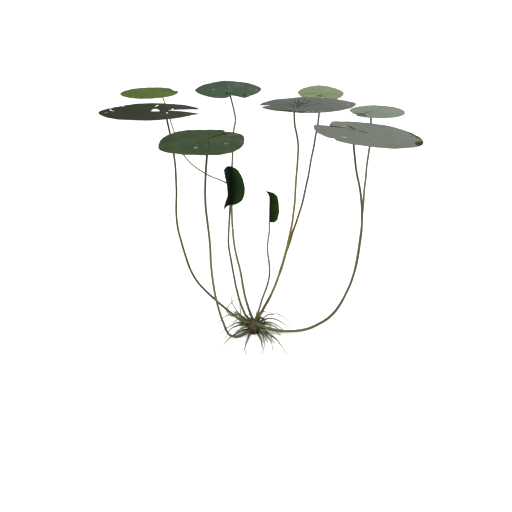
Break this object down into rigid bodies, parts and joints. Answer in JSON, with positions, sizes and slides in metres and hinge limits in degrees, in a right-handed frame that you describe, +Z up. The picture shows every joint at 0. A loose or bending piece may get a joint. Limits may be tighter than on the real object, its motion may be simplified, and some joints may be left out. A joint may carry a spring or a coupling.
{
  "type": "water lily plant",
  "caption": "Bare-root water lily plant: round notched floating pads and folded young leaves on long stalks from a short rooted rhizome.",
  "frame": {"origin": "centre of the rhizome's flat base, on the ground it stands on", "axes": "+Z up towards the pads, -Y towards the viewer's side, +X to the right"},
  "size_m": [0.5192, 0.5258, 0.4243],
  "materials": {
    "rhizome_bark": "rough mottled brown bark",
    "blade_left": "dark green leaf, almost black, satin",
    "blade_back_left": "bright green leaf, satin",
    "blade_front_left": "mid green leaf, satin",
    "blade_back": "blue-green leaf, satin",
    "blade_right": "grey-green leaf, satin",
    "blade_back_right": "pale green leaf, satin",
    "blade_far_right": "pale grey-green leaf, satin",
    "blade_front_right": "grey-green leaf, satin, darker at its right rim",
    "young_blade_left": "very dark green young leaf, satin",
    "young_blade_right": "very dark green young leaf, satin",
    "stalk_green": "smooth olive green stalk, satin",
    "stalk_brown": "smooth tan stalk, red-brown low down, satin",
    "stalk_pale": "smooth pale tan stalk, satin",
    "root_skin": "dark olive root, paler at the tip, matte"
  },
  "bodies": {
    "root": {"rhizome": "rhizome_bark", "pad_left": "blade_left", "pad_back_left": "blade_back_left", "pad_front_left": "blade_front_left", "pad_back": "blade_back", "pad_right": "blade_right", "pad_back_right": "blade_back_right", "pad_far_right": "blade_far_right", "pad_front_right": "blade_front_right", "young_leaf_left": "young_blade_left", "young_leaf_right": "young_blade_right", "stalk_left": "stalk_green", "stalk_back_left": "stalk_green", "stalk_front_left": "stalk_green", "stalk_back": "stalk_green", "stalk_right": "stalk_brown", "stalk_back_right": "stalk_brown", "stalk_far_right": "stalk_green", "stalk_front_right": "stalk_green", "stalk_young_left": "stalk_green", "stalk_young_right": "stalk_pale", "root_01": "root_skin", "root_02": "root_skin", "root_03": "root_skin", "root_04": "root_skin", "root_05": "root_skin", "root_06": "root_skin", "root_07": "root_skin", "root_08": "root_skin", "root_09": "root_skin", "root_10": "root_skin", "root_11": "root_skin", "root_12": "root_skin", "root_13": "root_skin", "root_14": "root_skin", "root_15": "root_skin", "root_16": "root_skin", "root_17": "root_skin", "root_18": "root_skin", "root_19": "root_skin", "root_20": "root_skin", "root_21": "root_skin", "root_22": "root_skin", "root_23": "root_skin", "root_24": "root_skin", "root_25": "root_skin"}
  },
  "joints": []
}
